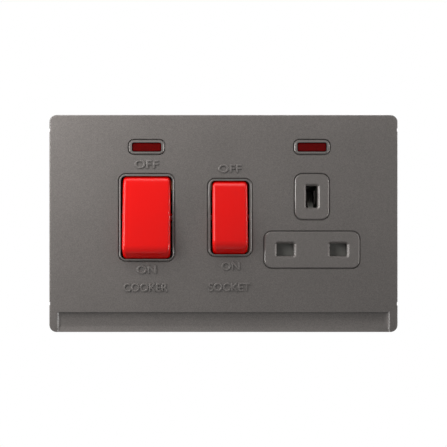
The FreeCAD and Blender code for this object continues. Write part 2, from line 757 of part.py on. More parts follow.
# Rockers, plungers and moving contacts of the two double-pole switches. Each rocker is drawn level
# about its own axle line and then turned to OFF, with its upper end pressed in.
spring_length = s.rocker_face - s.rocker_wall - 0.8
tube_end = s.plunger_reach * 0.32
for switch in (cooker, socket):
    rocker = new_body(f"{switch.name}_rocker")
    half = switch.width / 2
    reach = switch.end_radius
    hollow_front = s.rocker_wall - s.rocker_face
    spin(rocker, "Revolution", barrel(wall_y, half, reach, s.rocker_corner), 2 * s.rocker_sweep)
    face_half = switch.half - s.rocker_end_setback
    bend_y = s.rocker_end - s.rocker_face
    end_y = bend_y - s.rocker_end * sine(90 - s.rocker_end_turn)
    end_z = face_half + s.rocker_end * sine(s.rocker_end_turn)
    outside = -reach - 1
    face = polygon(
        [(-s.rocker_face, -face_half), (-s.rocker_face, face_half), (end_y, end_z), (outside, end_z),
         (outside, -end_z), (end_y, -end_z)],
        arcs=[(1, (bend_y, face_half), s.rocker_end), (5, (bend_y, -face_half), s.rocker_end)])
    pocket(rocker, "side", [face], -half - 1, half + 1)
    beside = (-half - 1, half + 1, -face_half, face_half)
    left_side = flat_at("X", -half, beside)
    right_side = flat_at("X", half, beside)
    dress(rocker, "Fillet", lambda edge: left_side(edge) or right_side(edge), s.rocker_edge)
    hollow = rectangle(0, 0, switch.width - 2 * s.rocker_wall, 2 * (switch.half - s.rocker_wall), sized(1))
    pocket(rocker, "front", [hollow], hollow_front, s.rocker_face)
    inner = half - s.rocker_wall
    end = half + s.axle_length
    hub = disc(0, 0, s.axle_radius * 1.9)
    axle = disc(0, 0, s.axle_radius)
    pad(rocker, "side", [hub], -half, -inner)
    pad(rocker, "side", [hub], inner, half)
    pad(rocker, "side", [axle], -end, -inner)
    pad(rocker, "side", [axle], inner, end)
    bore = switch.plunger + s.running_fit
    pad(rocker, "front", [disc(side * switch.pole, 0, bore + s.tube_wall) for side in (-1, 1)],
        hollow_front - 0.1, tube_end)
    pocket(rocker, "front", [disc(side * switch.pole, 0, bore) for side in (-1, 1)], -spring_length, tube_end)
    axle_place = (switch.x, wall_y, wall_y)
    turn(rocker, axle_place, -s.rocker_tilt)
    NODES[rocker.Label] = rocker

    plungers = []
    springs = []
    bars = []
    tips = []
    for side in (-1, 1):
        pole = side * switch.pole
        shank_end = s.plunger_reach - s.plunger_tip
        shank = rod("y", (pole, 0.6, 0), switch.plunger, tube_end)
        neck = rod("y", (pole, 0.6, 0), s.plunger_tip, shank_end - 0.6)
        nose = doc.addObject("Part::Cone", f"Nose{next(NAMES)}")
        nose.Placement = FreeCAD.Placement(Vector(0, 0, 0), TURNS["y"])
        bind(nose, "Radius1", s.plunger_tip)
        bind(nose, "Radius2", s.plunger_tip / 2)
        bind(nose, "Height", s.plunger_tip)
        bind(nose, "Placement.Base.x", pole)
        bind(nose, "Placement.Base.y", shank_end)
        plungers.append(fused([shank, neck, nose]))
        hand = "left" if side < 0 else "right"
        spring = coil(f"{switch.name}_spring_{hand}", switch.plunger * 0.68, switch.plunger * 0.2,
                      spring_length + 0.4, 3)
        spring.Placement = FreeCAD.Placement(Vector(0, 0, 0), TURNS["y"])
        bind(spring, "Placement.Base.x", pole)
        bind(spring, "Placement.Base.y", 0.1 - spring_length)
        springs.append(spring)
        bar_front = -s.bar_stand - s.bar_thickness
        bar_half = switch.tip_place + s.bar_overhang
        bar = block((pole - switch.bar / 2, bar_front, -bar_half),
                    (pole + switch.bar / 2, -s.bar_stand, bar_half))
        knuckle = rod("x", (pole - switch.bar / 2 + 0.3, 0, 0), s.pivot_rib_radius, switch.bar - 0.6)
        bars.append(fused([bar, knuckle]))
        tips.append(rod("y", (pole, -s.bar_stand, switch.tip_place), switch.tip_radius, s.tip_height))
    turn(group(f"{switch.name}_plungers", plungers), axle_place, -s.rocker_tilt)
    turn(group(f"{switch.name}_plunger_springs", springs), axle_place, -s.rocker_tilt)
    contact_place = (switch.x, contact_y, wall_y)
    turn(group(f"{switch.name}_moving_contacts", bars), contact_place, s.rocker_tilt)
    turn(group(f"{switch.name}_contact_tips", tips), contact_place, s.rocker_tilt)

# Cable terminals of the cooker switch: brass blocks, each one piece with its contact arm. The
# supply pair carries the fixed contacts; the load pair carries the cradles of the moving contacts.
cradle_front = contact_y + 0.3
stop_front = contact_y + sine(s.rocker_tilt) * (cooker.tip_place + s.bar_overhang) - 0.3
arm_front = cooker.fixed_front + s.tip_height
arm_rear = arm_front + s.arm_thickness
strip_rear = stop_front + s.arm_thickness
terminal_front = floor_y - s.terminal_length
bore_y = floor_y - s.terminal_length / 2
half_terminal = s.terminal_height / 2
supply_z = s.base_top - s.base_wall - 0.5 - half_terminal
load_z = s.base_wall + 0.5 + half_terminal - s.base_bottom
TERMINAL_SCREWS = []


def terminal_block(body, x, z, width, bores, way):
    """A clamp block with blind cable bores along Z and a screw hole behind each."""
    pad(body, "front", [rectangle(x, z, width, s.terminal_height)], terminal_front, floor_y)
    mouth = z + way * half_terminal
    blind = z - way * (half_terminal - 1.5)
    low, high = (blind, mouth) if way > 0 else (mouth, blind)
    pocket(body, "plan", [disc(bore_x, bore_y, s.cable_bore_radius) for bore_x in bores], low, high)
    pocket(body, "front", [disc(bore_x, z, s.terminal_screw_radius + 0.05) for bore_x in bores],
           bore_y, floor_y)
    TERMINAL_SCREWS.extend((bore_x, z) for bore_x in bores)


def cradle(body, x, width):
    """A rounded seat in which a moving contact rocks, standing on a flat arm."""
    pad(body, "front", [rectangle(x, 0, width, 3.6)], cradle_front, stop_front)
    pocket(body, "side", [disc(contact_y, 0, s.pivot_rib_radius + s.running_fit)], x - width, x + width)


for name, side in (("neutral", -1), ("live", 1)):
    pole = cooker.x + side * cooker.pole
    arm_low = pole - cooker.bar / 2
    arm_high = pole + cooker.bar / 2
    block_x = cooker.x + side * s.terminal_pitch / 2
    supply = new_body(f"supply_{name}_terminal")
    terminal_block(supply, block_x, supply_z, s.terminal_width, [block_x], 1)
    arm_foot = cooker.tip_place - cooker.bar / 2
    pad(supply, "front", [span(arm_low, arm_high, arm_foot, supply_z - half_terminal)], arm_front, arm_rear)
    NODES[supply.Label] = supply
    load = new_body(f"load_{name}_terminal")
    terminal_block(load, block_x, load_z, s.terminal_width, [block_x], -1)
    pad(load, "front", [span(arm_low, arm_high, load_z + half_terminal, 1.8)], stop_front, strip_rear)
    cradle(load, pole, cooker.bar)
    NODES[load.Label] = load

# Links from the supply arms to the socket switch. The live link lies behind the arms; the neutral
# link crosses in front of them.
live_pole = socket.x - socket.pole
neutral_pole = socket.x + socket.pole
link_low = s.link_z - s.link_width / 2
link_high = s.link_z + s.link_width / 2
foot_z = socket.tip_place - socket.bar / 2
live_link = new_body("live_link")
pad(live_link, "front", [span(cooker.x + cooker.pole - 2.4, live_pole + socket.bar / 2, link_low, link_high)],
    arm_rear, arm_rear + s.link_thickness)
pad(live_link, "front", [span(live_pole - socket.bar / 2, live_pole + socket.bar / 2, foot_z, link_low)],
    arm_rear, arm_rear + s.link_thickness)
NODES["live_link"] = live_link
bridge_front = contact_y * 0.6
bridge_rear = bridge_front + s.link_thickness
tab_x = cooker.x - cooker.pole
neutral_link = new_body("neutral_link")
far_low = neutral_pole - 2
far_high = neutral_pole + 2
pad(neutral_link, "front", [span(tab_x - 2, far_high, link_low, link_high)], bridge_front, bridge_rear)
pad(neutral_link, "front", [span(tab_x - 2, tab_x + 2, link_low, link_high)], bridge_rear, arm_front)
pad(neutral_link, "front", [span(far_low, far_high, link_low + 1, link_high)], bridge_rear, arm_rear)
pad(neutral_link, "front", [span(far_low, far_high, foot_z, link_high)],
    arm_rear - s.link_thickness, arm_rear)
NODES["neutral_link"] = neutral_link

fixed_tips = [rod("y", (cooker.x + side * cooker.pole, cooker.fixed_front, cooker.tip_place), 2, s.tip_height)
              for side in (-1, 1)]
fixed_tips.append(rod("y", (live_pole, socket.fixed_front, socket.tip_place), 1.6,
                      arm_rear - socket.fixed_front))
fixed_tips.append(rod("y", (neutral_pole, socket.fixed_front, socket.tip_place), 1.6,
                      arm_rear - s.link_thickness - socket.fixed_front))
group("fixed_contact_tips", fixed_tips)

# Line and neutral strips: each runs from its switch cradle to a clip behind its slot.
clip_inner = s.pin_slot_height / 2 - 0.7
clip_outer = clip_inner + s.clip_metal
clip_front = insert_rear + s.shutter_thickness + 3.4
throat = clip_front + 2
for name, pole, x in (("live", live_pole, live_x), ("neutral", neutral_pole, neutral_x)):
    strip = new_body(f"socket_{name}_contact")
    clip = polygon(
        [(clip_front, pins_z - clip_outer - 0.6), (throat, pins_z - clip_outer),
         (strip_rear, pins_z - clip_outer), (strip_rear, pins_z + clip_outer),
         (throat, pins_z + clip_outer), (clip_front, pins_z + clip_outer + 0.6),
         (clip_front, pins_z + clip_inner + 0.6), (throat, pins_z + clip_inner),
         (stop_front, pins_z + clip_inner), (stop_front, pins_z - clip_inner),
         (throat, pins_z - clip_inner), (clip_front, pins_z - clip_inner - 0.6)])
    pad(strip, "side", [clip], x - 3, x + 3)
    run_high = pins_z + 1.8 if name == "neutral" else pins_z - clip_outer - 3.4
    run_low = run_high - 3.6
    pole_low = pole - socket.bar / 2
    pole_high = pole + socket.bar / 2
    pad(strip, "front", [span(pole_low, x + 3, run_low, run_high)], stop_front, strip_rear)
    if name == "live":
        pad(strip, "front", [span(x - 3, x + 3, run_low, pins_z)], stop_front, strip_rear)
    pad(strip, "front", [span(pole_low, pole_high, run_low, 1.8)], stop_front, strip_rear)
    cradle(strip, pole, socket.bar)
    NODES[strip.Label] = strip

# Earth terminal: a two-way block, one piece with the strap and the earth pin's clip.
earth = new_body("earth_terminal")
earth_bores = [s.earth_terminal_x + side * s.earth_terminal_pitch / 2 for side in (-1, 1)]
earth_width = s.earth_terminal_pitch + s.terminal_width - 2
terminal_block(earth, s.earth_terminal_x, supply_z, earth_width, earth_bores, 1)
strap_rear = floor_y - 0.6
strap_front = strap_rear - s.clip_metal - 0.2
earth_right = s.earth_terminal_x + earth_width / 2
strap_low = s.earth_z - 2.5
strap_left = earth_right - 4
pad(earth, "front", [span(strap_left, earth_right, strap_low, supply_z - half_terminal)],
    strap_front, strap_rear)
pad(earth, "front", [span(strap_left, s.outlet_x + 2, strap_low, strap_low + 5)], strap_front, strap_rear)
grip_inner = s.earth_slot_width / 2 - 0.6
grip_outer = grip_inner + s.clip_metal
grip_front = insert_rear + s.shutter_thickness + 8.2
throat = grip_front + 2
ox = s.outlet_x
grip = polygon(
    [(ox - grip_outer - 0.6, grip_front), (ox - grip_outer, throat), (ox - grip_outer, strap_rear),
     (ox + grip_outer, strap_rear), (ox + grip_outer, throat), (ox + grip_outer + 0.6, grip_front),
     (ox + grip_inner + 0.6, grip_front), (ox + grip_inner, throat), (ox + grip_inner, strap_front),
     (ox - grip_inner, strap_front), (ox - grip_inner, throat), (ox - grip_inner - 0.6, grip_front)])
pad(earth, "plan", [grip], s.earth_z - 3, s.earth_z + 3)
NODES["earth_terminal"] = earth

screws = []
for x, z in TERMINAL_SCREWS:
    tip = bore_y + s.cable_bore_radius + 0.1
    body = rod("y", (x, tip, z), s.terminal_screw_radius, s.base_rear - tip)
    slot = block((x - s.terminal_screw_radius - 1, s.base_rear - 1, z - 0.4),
                 (x + s.terminal_screw_radius + 1, s.base_rear + 1, z + 0.4))
    screws.append(less(body, slot))
group("terminal_screws", screws)

# Shutter: a sliding plate whose flags close the line and neutral slots. A narrow ramp stands in the
# earth slot, and the longer earth pin presses the plate down along it.
shutter = new_body("shutter")
shutter_front = insert_rear + s.running_fit
shutter_rear = shutter_front + s.shutter_thickness
pad(shutter, "front", [span(s.outlet_x - flag_half, s.outlet_x + flag_half, flag_bottom, flag_top)],
    shutter_front, shutter_rear)
ramp_foot = s.earth_z - s.earth_slot_height / 2
ramp_run = s.shutter_travel + 0.4
ramp_rear = shutter_front + ramp_run
stem = span(s.outlet_x - 3, s.outlet_x + 3, flag_top, ramp_foot - 0.4)
pad(shutter, "front", [stem], shutter_front, shutter_rear)
ramp = polygon([(shutter_front, ramp_foot - 1.5), (shutter_front, ramp_foot),
                (ramp_rear, ramp_foot + ramp_run), (ramp_rear, ramp_foot + ramp_run - 2.2),
                (shutter_rear, ramp_foot - 1.5)])
pad(shutter, "side", [ramp], s.outlet_x - s.ramp_width / 2, s.outlet_x + s.ramp_width / 2)
NODES["shutter"] = shutter

spring = coil("shutter_spring", s.shutter_thickness * 0.36, s.shutter_thickness * 0.16,
              flag_bottom - seat_top - 0.1, 4)
bind(spring, "Placement.Base.x", s.outlet_x)
bind(spring, "Placement.Base.y", (shutter_front + shutter_rear) / 2)
bind(spring, "Placement.Base.z", seat_top + 0.05)
NODES["shutter_spring"] = spring

# Rear base: a tray screwed to the insert from behind, open at top and bottom where cables enter.
base = new_body("rear_base")
base_front = insert_rear + s.running_fit
left = -s.base_left
right = s.base_right
top = s.base_top
bottom = -s.base_bottom
pad(base, "front", [span(left, right, bottom, top, sized(2))], base_front, s.base_rear)
dress(base, "Fillet", flat_at("Y", s.base_rear), s.base_edge)
inner_low = bottom + s.base_wall
inner_high = top - s.base_wall
tray = span(left + s.base_wall, right - s.base_wall, inner_low, inner_high)
pocket(base, "front", [tray], base_front, floor_y)
pair = (s.terminal_pitch + s.terminal_width) / 2 + 0.3
earth_pair = earth_width / 2 + 0.3
entries = [span(cooker.x - pair, cooker.x + pair, inner_high - 0.5, top + 1),
           span(cooker.x - pair, cooker.x + pair, bottom - 1, inner_low + 0.5),
           span(s.earth_terminal_x - earth_pair, s.earth_terminal_x + earth_pair, inner_high - 0.5, top + 1)]
pocket(base, "front", entries, terminal_front - 0.5, floor_y)
barrier = (s.terminal_pitch - s.terminal_width) / 2 - 0.2
pad(base, "front", [span(cooker.x - barrier, cooker.x + barrier, supply_z - half_terminal, inner_high),
                    span(cooker.x - barrier, cooker.x + barrier, inner_low, load_z + half_terminal)],
    terminal_front - 2, floor_y)
cells = [s.outlet_x + side * 5.4 for side in (-1, 1)]
pad(base, "front", [span(x - 0.6, x + 0.6, flag_bottom, pins_z - 2.5) for x in cells],
    shutter_rear + s.running_fit, floor_y)
pocket(base, "front", [disc(x, z, s.terminal_screw_radius + 0.4) for x, z in TERMINAL_SCREWS],
       floor_y, s.base_rear)
pocket(base, "front", [disc(x, z, s.base_screw_radius + 0.35) for x, z in SCREWS], floor_y, s.base_rear)
pocket(base, "front", [disc(x, z, s.base_screw_radius + 1.35) for x, z in SCREWS],
       s.base_rear - 1.1, s.base_rear)
NODES["rear_base"] = base

screws = []
for x, z in SCREWS:
    shank = rod("y", (x, floor_y - 9, z), s.base_screw_radius, s.base_floor + 9 - 0.4)
    head = rod("y", (x, s.base_rear - 1.1, z), s.base_screw_radius + 1.2, 0.9)
    across = block((x - 1.6, s.base_rear - 0.9, z - 0.3), (x + 1.6, s.base_rear + 1, z + 0.3))
    upright = block((x - 0.3, s.base_rear - 0.9, z - 1.6), (x + 0.3, s.base_rear + 1, z + 1.6))
    screws.append(less(fused([shank, head]), fused([across, upright])))
group("base_screws", screws)

for thing in NODES.values():
    if thing.isDerivedFrom("PartDesign::Body"):
        thing.Tip.Refine = True
doc.recompute()
for thing in doc.Objects:
    if "Invalid" in thing.State or "Error" in thing.State:
        raise RuntimeError(f"{thing.Name} did not build")
for label, thing in NODES.items():
    if thing.Shape.isNull() or not thing.Shape.isValid() or not thing.Shape.Solids:
        raise RuntimeError(f"{label} has no sound solid")
os.makedirs("parts", exist_ok=True)
for label, thing in NODES.items():
    thing.Shape.exportStep(f"parts/{label}.step")
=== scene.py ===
import math

import bpy
import numpy as np
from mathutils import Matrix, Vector


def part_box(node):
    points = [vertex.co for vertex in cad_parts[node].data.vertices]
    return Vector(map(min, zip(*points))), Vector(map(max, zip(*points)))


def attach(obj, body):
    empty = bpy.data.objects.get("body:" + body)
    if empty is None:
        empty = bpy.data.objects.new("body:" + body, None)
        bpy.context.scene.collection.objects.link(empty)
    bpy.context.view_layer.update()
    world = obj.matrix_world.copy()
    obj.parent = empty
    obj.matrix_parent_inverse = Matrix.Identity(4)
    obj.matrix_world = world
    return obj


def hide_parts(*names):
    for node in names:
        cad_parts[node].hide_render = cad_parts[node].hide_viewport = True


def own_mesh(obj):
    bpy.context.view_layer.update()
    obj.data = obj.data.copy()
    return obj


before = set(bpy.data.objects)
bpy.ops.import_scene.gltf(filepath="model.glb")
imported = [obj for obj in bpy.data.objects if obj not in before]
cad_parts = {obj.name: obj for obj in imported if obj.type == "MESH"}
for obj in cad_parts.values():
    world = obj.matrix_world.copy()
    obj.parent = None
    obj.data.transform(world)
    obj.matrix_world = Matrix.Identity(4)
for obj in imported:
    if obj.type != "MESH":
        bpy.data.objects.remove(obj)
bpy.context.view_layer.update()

# Rear base: the tray of pale heat-resistant moulding that closes the unit behind and carries the
# terminals. It is pressed in one shot from thermoset powder, so its skin has a faint clouding and
# the fine pebbled grain of a spark-eroded mould.
METRES_PER_MM = 0.001
SHARP_TURN = math.radians(28.0)
SAME_POINT = 0.001 * METRES_PER_MM


def add(tree, kind, inputs=None, **settings):
    """One node in a tree. An input is a value, or the output of another node to be linked."""
    node = tree.nodes.new(kind)
    for name, value in settings.items():
        setattr(node, name, value)
    for name, value in (inputs or {}).items():
        if isinstance(value, bpy.types.NodeSocket):
            tree.links.new(value, node.inputs[name])
        else:
            node.inputs[name].default_value = value
    return node


def smooth_facets_tree():
    """Modifier tree that joins loose triangles and shades an edge smooth unless it turns sharply."""
    tree = bpy.data.node_groups.new("smooth_facets", "GeometryNodeTree")
    for way in ("INPUT", "OUTPUT"):
        tree.interface.new_socket("Geometry", in_out=way, socket_type="NodeSocketGeometry")
    start = add(tree, "NodeGroupInput")
    joined = add(tree, "GeometryNodeMergeByDistance",
                 {"Geometry": start.outputs["Geometry"], "Distance": SAME_POINT})
    smooth = add(tree, "GeometryNodeSetShadeSmooth",
                 {"Geometry": joined.outputs["Geometry"]}, domain="FACE")
    angle = add(tree, "GeometryNodeInputMeshEdgeAngle")
    gentle = add(tree, "FunctionNodeCompare",
                 {0: angle.outputs["Unsigned Angle"], 1: SHARP_TURN},
                 data_type="FLOAT", operation="LESS_THAN")
    creased = add(tree, "GeometryNodeSetShadeSmooth",
                  {"Geometry": smooth.outputs["Geometry"], "Shade Smooth": gentle.outputs["Result"]},
                  domain="EDGE")
    add(tree, "NodeGroupOutput", {"Geometry": creased.outputs["Geometry"]})
    return tree


smooth_facets = smooth_facets_tree()


def dress(material, *nodes):
    """Gives CAD nodes their finish, and smooth shading over the facets of their round faces."""
    for name in nodes:
        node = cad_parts[name]
        node.data.materials.clear()
        node.data.materials.append(material)
        shading = node.modifiers.new("smooth_facets", "NODES")
        shading.node_group = smooth_facets


def group_with(name, inputs):
    """An empty shader group with the named inputs, and Color, Roughness and Height as its outputs."""
    tree = bpy.data.node_groups.new(name, "ShaderNodeTree")
    for label, kind in inputs.items():
        tree.interface.new_socket(label, in_out="INPUT", socket_type=f"NodeSocket{kind}")
    for label, kind in (("Color", "Color"), ("Roughness", "Float"), ("Height", "Float")):
        tree.interface.new_socket(label, in_out="OUTPUT", socket_type=f"NodeSocket{kind}")
    return tree, add(tree, "NodeGroupInput").outputs


def varied(tree, amount, spread, start):
    """A value that changes over the surface: start + spread * amount."""
    total = add(tree, "ShaderNodeMath", {0: amount, 1: spread, 2: start}, operation="MULTIPLY_ADD")
    return total.outputs[0]


def shade_of(tree, colour, amount, spread):
    """Colour made lighter and darker: it is multiplied by 1 + spread * (2 * amount - 1)."""
    swing = varied(tree, amount, 2.0, -1.0)
    gain = varied(tree, swing, spread, 1.0)
    shaded = add(tree, "ShaderNodeVectorMath", {0: colour, "Scale": gain}, operation="SCALE")
    return shaded.outputs["Vector"]


def moulded_skin_group():
    """Moulded plastic: slow noise clouds the colour and the gloss, quick noise is the mould's grain."""
    tree, given = group_with("moulded_skin", {
        "Color": "Color", "Clouding": "Float", "Cloud Scale": "Float",
        "Roughness": "Float", "Gloss Spread": "Float", "Grain Scale": "Float"})
    place = add(tree, "ShaderNodeTexCoord").outputs["Object"]
    cloud = add(tree, "ShaderNodeTexNoise",
                {"Vector": place, "Scale": given["Cloud Scale"], "Detail": 3.0})
    grain = add(tree, "ShaderNodeTexNoise",
                {"Vector": place, "Scale": given["Grain Scale"], "Detail": 2.0})
    add(tree, "NodeGroupOutput", {
        "Color": shade_of(tree, given["Color"], cloud.outputs["Fac"], given["Clouding"]),
        "Roughness": varied(tree, cloud.outputs["Fac"], given["Gloss Spread"], given["Roughness"]),
        "Height": grain.outputs["Fac"]})
    return tree


moulded_skin = moulded_skin_group()


def finish_from(name, group, values, bump, depth, **sockets):
    """A material whose colour, gloss and relief come from a group; the rest is set on the shader."""
    material = bpy.data.materials.new(name)
    material.use_nodes = True
    tree = material.node_tree
    shader = tree.nodes["Principled BSDF"]
    skin = add(tree, "ShaderNodeGroup", node_tree=group)
    for label, value in values.items():
        skin.inputs[label].default_value = value
    relief = add(tree, "ShaderNodeBump",
                 {"Strength": bump, "Distance": depth * METRES_PER_MM, "Height": skin.outputs["Height"]})
    tree.links.new(skin.outputs["Color"], shader.inputs["Base Color"])
    tree.links.new(skin.outputs["Roughness"], shader.inputs["Roughness"])
    tree.links.new(relief.outputs["Normal"], shader.inputs["Normal"])
    for label, value in sockets.items():
        shader.inputs[label.replace("_", " ")].default_value = value
    return material


base_moulding = finish_from(
    "base_moulding", moulded_skin,
    {"Color": (0.58, 0.57, 0.54, 1.0), "Clouding": 0.06, "Cloud Scale": 60.0,
     "Roughness": 0.38, "Gloss Spread": 0.16, "Grain Scale": 2600.0},
    bump=0.25, depth=0.04, IOR=1.55)
dress(base_moulding, "rear_base")

# Terminals: clamp blocks sawn from drawn brass bar. The drawing leaves fine lines along the metal, and
# the brass has dulled unevenly. The earth terminal, with its strap and clip, is nickel plate drawn much
# darker than nickel: painted shade, so that the clip seen deep in the earth slot stays dark.


def drawn_metal_group():
    """Drawn or rolled metal: noise stretched one way makes lines, slow noise tarnishes the colour."""
    tree, given = group_with("drawn_metal", {
        "Color": "Color", "Tarnish": "Float", "Line Stretch": "Vector",
        "Roughness": "Float", "Line Gloss": "Float"})
    place = add(tree, "ShaderNodeTexCoord").outputs["Object"]
    stretched = add(tree, "ShaderNodeVectorMath",
                    {0: place, 1: given["Line Stretch"]}, operation="MULTIPLY")
    lines = add(tree, "ShaderNodeTexNoise",
                {"Vector": stretched.outputs["Vector"], "Scale": 1.0, "Detail": 4.0})
    cloud = add(tree, "ShaderNodeTexNoise", {"Vector": place, "Scale": 180.0, "Detail": 4.0})
    add(tree, "NodeGroupOutput", {
        "Color": shade_of(tree, given["Color"], cloud.outputs["Fac"], given["Tarnish"]),
        "Roughness": varied(tree, lines.outputs["Fac"], given["Line Gloss"], given["Roughness"]),
        "Height": lines.outputs["Fac"]})
    return tree


drawn_metal = drawn_metal_group()
brass = finish_from(
    "brass", drawn_metal,
    {"Color": (0.72, 0.50, 0.20, 1.0), "Tarnish": 0.30, "Line Stretch": (3000.0, 3000.0, 160.0),
     "Roughness": 0.20, "Line Gloss": 0.25},
    bump=0.20, depth=0.02, Metallic=1.0)
dress(brass, "supply_live_terminal", "supply_neutral_terminal", "load_live_terminal",
      "load_neutral_terminal")
# Painted shade: the earth terminal's colour is set far darker than plated metal so the earth slot reads
# dark.
plated_brass = finish_from(
    "plated_brass", drawn_metal,
    {"Color": (0.17, 0.16, 0.147, 1.0), "Tarnish": 0.30, "Line Stretch": (3000.0, 3000.0, 160.0),
     "Roughness": 0.40, "Line Gloss": 0.20},
    bump=0.20, depth=0.02, Metallic=1.0)
dress(plated_brass, "earth_terminal")

# Links, contact strips and contact bars: blanked from rolled copper. The tips on the bars and arms are
# silver rivets with a soft bright face.
copper = finish_from(
    "copper", drawn_metal,
    {"Color": (0.52, 0.24, 0.15, 1.0), "Tarnish": 0.35, "Line Stretch": (2600.0, 2600.0, 200.0),
     "Roughness": 0.22, "Line Gloss": 0.22},
    bump=0.20, depth=0.02, Metallic=1.0)
dress(copper, "cooker_moving_contacts", "socket_moving_contacts", "live_link", "neutral_link",
      "socket_live_contact", "socket_neutral_contact")
silver = finish_from(
    "silver", drawn_metal,
    {"Color": (0.80, 0.79, 0.76, 1.0), "Tarnish": 0.15, "Line Stretch": (900.0, 900.0, 900.0),
     "Roughness": 0.18, "Line Gloss": 0.18},
    bump=0.15, depth=0.02, Metallic=1.0)
dress(silver, "cooker_contact_tips", "socket_contact_tips", "fixed_contact_tips")

# Screws: zinc-plated steel, turned and rolled. They hold the base to the insert and clamp the cables
# in the terminals. Rings across their length stand for the rolled thread.
screw_steel = finish_from(
    "screw_steel", drawn_metal,
    {"Color": (0.45, 0.45, 0.44, 1.0), "Tarnish": 0.18, "Line Stretch": (220.0, 9000.0, 220.0),
     "Roughness": 0.24, "Line Gloss": 0.22},
    bump=0.35, depth=0.05, Metallic=1.0)
dress(screw_steel, "base_screws", "terminal_screws")

# Springs under the plungers and the shutter: hard-drawn carbon steel wire, oiled dark. The shutter's
# spring stands on the insert's seat, and it is drawn anew as a round wire.
spring_steel = finish_from(
    "spring_steel", drawn_metal,
    {"Color": (0.36, 0.36, 0.37, 1.0), "Tarnish": 0.25, "Line Stretch": (2500.0, 2500.0, 2500.0),
     "Roughness": 0.22, "Line Gloss": 0.2},
    bump=0.15, depth=0.02, Metallic=1.0)
dress(spring_steel, "cooker_plunger_springs", "socket_plunger_springs")
WIRE = 0.288 * METRES_PER_MM
COIL_TURNS = 4
STEPS_PER_TURN = 28
WIRE_SIDES = 10
coil_low, coil_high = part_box("shutter_spring")
coil_length = coil_high.z - coil_low.z


def coil_mesh():
    """A helix at the coil's mean radius climbs from the foot to the head. Each of its points carries a
    circle of the wire's radius in the plane through the axis, and the two end circles are closed."""
    count = COIL_TURNS * STEPS_PER_TURN + 1
    share = np.linspace(0.0, 1.0, count)[:, None]
    turn = share * COIL_TURNS * 2.0 * np.pi
    around = np.linspace(0.0, 2.0 * np.pi, WIRE_SIDES, endpoint=False)[None, :]
    middle = (coil_low + coil_high) / 2
    reach = (coil_high.x - coil_low.x - WIRE) / 2 + np.cos(around) * WIRE / 2
    x = middle.x + reach * np.cos(turn)
    y = middle.y + reach * np.sin(turn)
    z = coil_low.z + WIRE / 2 + share * (coil_length - WIRE) + np.sin(around) * WIRE / 2
    points = np.column_stack((x.ravel(), y.ravel(), z.ravel()))
    ring = np.arange(count - 1)[:, None] * WIRE_SIDES
    side = np.arange(WIRE_SIDES)[None, :]
    after = (side + 1) % WIRE_SIDES
    above = ring + WIRE_SIDES
    faces = np.stack((ring + side, above + side, above + after, ring + after), axis=-1)
    foot = list(range(WIRE_SIDES))
    head = [(count - 1) * WIRE_SIDES + corner for corner in reversed(foot)]
    mesh = bpy.data.meshes.new("shutter_coil")
    mesh.from_pydata(points.tolist(), [], faces.reshape(-1, 4).tolist() + [foot, head])
    mesh.polygons.foreach_set("use_smooth", np.ones(len(mesh.polygons), dtype=bool))
    mesh.materials.append(spring_steel)
    return mesh


shutter_coil = bpy.data.objects.new("shutter_coil", coil_mesh())
bpy.context.scene.collection.objects.link(shutter_coil)
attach(shutter_coil, "unit")
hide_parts("shutter_spring")
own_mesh(shutter_coil)

# Plungers: turned from white acetal, a waxy plastic with a low gloss. Two slide inside each rocker,
# and their springs press them onto the contact bars.
plunger_white = finish_from(
    "plunger_white", moulded_skin,
    {"Color": (0.74, 0.73, 0.70, 1.0), "Clouding": 0.04, "Cloud Scale": 220.0,
     "Roughness": 0.34, "Gloss Spread": 0.12, "Grain Scale": 3200.0},
    bump=0.15, depth=0.02, IOR=1.48)
dress(plunger_white, "cooker_plungers", "socket_plungers")

# Shutter: a grey moulded slide behind the pin slots, with the ramp that the earth pin pushes on. Its
# spring holds it up, where its two flags close the line and neutral slots.
shutter_grey = finish_from(
    "shutter_grey", moulded_skin,
    {"Color": (0.165, 0.163, 0.148, 1.0), "Clouding": 0.10, "Cloud Scale": 160.0,
     "Roughness": 0.36, "Gloss Spread": 0.16, "Grain Scale": 2400.0},
    bump=0.20, depth=0.03)
dress(shutter_grey, "shutter")

# Cover and insert: the clip-on cover and the moulding that rises through its apertures are sprayed
# alike with a grey metallic lacquer under a thin clear coat. Fine flakes lie in the lacquer, and it
# dries with a slight peel.


def flake_paint_group():
    """Metallic lacquer: small cells at random brightness are the flakes, slow noise is the spray's
    drift, and a finer noise is the peel of the dried surface."""
    tree, given = group_with("flake_paint", {
        "Color": "Color", "Flake Scale": "Float", "Flake Spread": "Float", "Drift": "Float",
        "Roughness": "Float", "Flake Gloss": "Float", "Peel Scale": "Float"})
    place = add(tree, "ShaderNodeTexCoord").outputs["Object"]
    flakes = add(tree, "ShaderNodeTexVoronoi", {"Vector": place, "Scale": given["Flake Scale"]})
    bright = add(tree, "ShaderNodeSeparateColor", {"Color": flakes.outputs["Color"]})
    drift = add(tree, "ShaderNodeTexNoise", {"Vector": place, "Scale": 45.0, "Detail": 3.0})
    peel = add(tree, "ShaderNodeTexNoise",
               {"Vector": place, "Scale": given["Peel Scale"], "Detail": 3.0})
    drifted = shade_of(tree, given["Color"], drift.outputs["Fac"], given["Drift"])
    add(tree, "NodeGroupOutput", {
        "Color": shade_of(tree, drifted, bright.outputs["Red"], given["Flake Spread"]),
        "Roughness": varied(tree, bright.outputs["Green"], given["Flake Gloss"], given["Roughness"]),
        "Height": peel.outputs["Fac"]})
    return tree


